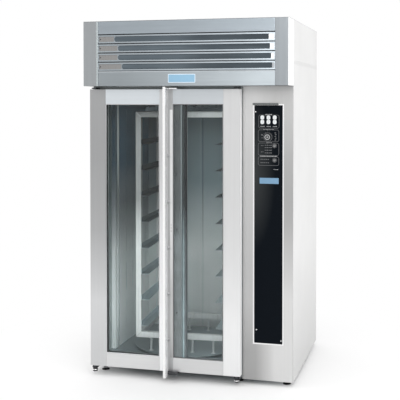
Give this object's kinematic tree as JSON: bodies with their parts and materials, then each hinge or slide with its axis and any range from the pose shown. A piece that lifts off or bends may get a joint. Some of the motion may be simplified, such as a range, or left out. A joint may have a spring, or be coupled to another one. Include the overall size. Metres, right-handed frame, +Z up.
{
  "type": "rotating rack oven",
  "caption": "Upright glazed two-leaf bakery oven with a louvred hood, a control column and a gear-driven tray rack that turns inside.",
  "frame": {"origin": "on the floor under the middle of the oven's outline, hood and body together", "axes": "+Z up, -Y towards the person at the doors, +X towards the control column"},
  "size_m": [1.271, 1.159, 2.26],
  "materials": {
    "stainless": "brushed stainless sheet, vertical grain",
    "hood_stainless": "satin stainless, horizontal grain",
    "side_paint": "satin white coat",
    "liner_steel": "dull stainless liner",
    "polished_steel": "polished trim",
    "rack_steel": "welded stainless tube and angle",
    "machine_steel": "machined and galvanised steel",
    "motor_paint": "machine enamel",
    "black_gloss": "gloss black",
    "black_plastic": "moulded black",
    "display_white": "lit white",
    "blue_plate": "plain sky blue",
    "knob_grey": "moulded grey",
    "seal_rubber": "silicone rubber",
    "foot_black": "moulded black",
    "brass": "bare brass",
    "circuit": "lacquered board",
    "tinted_glass": "grey-green tempered glass",
    "lamp_glass": "thick frosted glass"
  },
  "bodies": {
    "cabinet": {"levelling_feet": "foot_black", "base_slab": "liner_steel", "left_side_panel": "side_paint", "right_side_panel": "side_paint", "rear_panel": "stainless", "roof_panel": "stainless", "left_wall": "liner_steel", "rear_wall": "liner_steel", "ceiling_slab": "liner_steel", "plenum_wall": "liner_steel", "left_air_baffle": "liner_steel", "right_air_baffle": "liner_steel", "door_surround": "stainless", "door_gasket": "seal_rubber", "door_hinge_brackets": "machine_steel", "hood_shell": "hood_stainless", "hood_louvres": "hood_stainless", "hood_filter": "rack_steel", "blank_plates": "blue_plate", "column_front": "stainless", "fascia_trim": "polished_steel", "control_fascia": "black_gloss", "display_windows": "display_white", "control_board": "circuit", "contactor_rail": "black_plastic", "heater_rings": "machine_steel", "fan_shroud": "rack_steel", "fan_motor": "motor_paint", "steam_pipe": "brass", "water_inlet": "brass", "drain_stub": "rack_steel", "cable_gland": "black_plastic", "cavity_lamp": "lamp_glass", "gearmotor": "motor_paint", "spindle_bearing": "machine_steel", "exhaust_fan_case": "machine_steel", "exhaust_motor": "motor_paint", "flue_spigot": "machine_steel", "floor_pivot": "machine_steel"},
    "rack": {"driven_gear": "machine_steel", "rack_spindle": "machine_steel", "drive_yoke": "rack_steel", "turntable": "rack_steel", "rack_frame": "rack_steel", "tray_runners": "rack_steel"},
    "left_door": {"left_door_frame": "stainless", "left_door_glass": "tinted_glass", "left_glass_trim": "polished_steel"},
    "right_door": {"right_door_frame": "stainless", "right_door_glass": "tinted_glass", "right_glass_trim": "polished_steel", "latch_stile": "black_plastic", "door_handle": "polished_steel"},
    "pinion": {"drive_pinion": "machine_steel"},
    "convection_fan": {"convection_impeller": "rack_steel"},
    "exhaust_fan": {"exhaust_impeller": "rack_steel"},
    "flue_damper": {"damper_flap": "rack_steel"},
    "knob": {"program_knob": "knob_grey"},
    "start_key": {"start_button": "polished_steel"},
    "stop_key": {"stop_button": "polished_steel"}
  },
  "joints": [
    {"name": "left_door_hinge", "type": "hinge", "parent": "cabinet", "child": "left_door", "pos_m": [-0.6105, -0.4605, 0.924], "axis": [0, 0, -1], "range_deg": [0, 120]},
    {"name": "right_door_hinge", "type": "hinge", "parent": "cabinet", "child": "right_door", "pos_m": [0.2985, -0.4605, 0.924], "axis": [0, 0, 1], "range_deg": [0, 120]},
    {"name": "rack_spin", "type": "hinge", "parent": "cabinet", "child": "rack", "pos_m": [-0.1275, 0.0345, 0.9], "axis": [0, 0, 1], "continuous": true},
    {"name": "pinion_spin", "type": "hinge", "parent": "cabinet", "child": "pinion", "pos_m": [0.0405, 0.0345, 1.85], "axis": [0, 0, 1], "continuous": true},
    {"name": "convection_spin", "type": "hinge", "parent": "cabinet", "child": "convection_fan", "pos_m": [0.3745, 0.0895, 0.93], "axis": [1, 0, 0], "continuous": true},
    {"name": "exhaust_spin", "type": "hinge", "parent": "cabinet", "child": "exhaust_fan", "pos_m": [0.2695, 0.2445, 1.97], "axis": [0, 1, 0], "continuous": true},
    {"name": "damper_turn", "type": "hinge", "parent": "cabinet", "child": "flue_damper", "pos_m": [0.3495, 0.2445, 2.19], "axis": [-1, 0, 0], "range_deg": [0, 90]},
    {"name": "knob_turn", "type": "hinge", "parent": "cabinet", "child": "knob", "pos_m": [0.479, -0.4255, 1.5], "axis": [0, -1, 0], "range_deg": [-150, 150]},
    {"name": "start_press", "type": "slide", "parent": "cabinet", "child": "start_key", "axis": [0, 1, 0], "range_m": [0, 0.003], "stiffness_N_per_m": 400},
    {"name": "stop_press", "type": "slide", "parent": "cabinet", "child": "stop_key", "axis": [0, 1, 0], "range_m": [0, 0.003], "stiffness_N_per_m": 400}
  ],
  "couplings": [
    {"joint": "pinion_spin", "follows": "rack_spin", "ratio": -3}
  ]
}
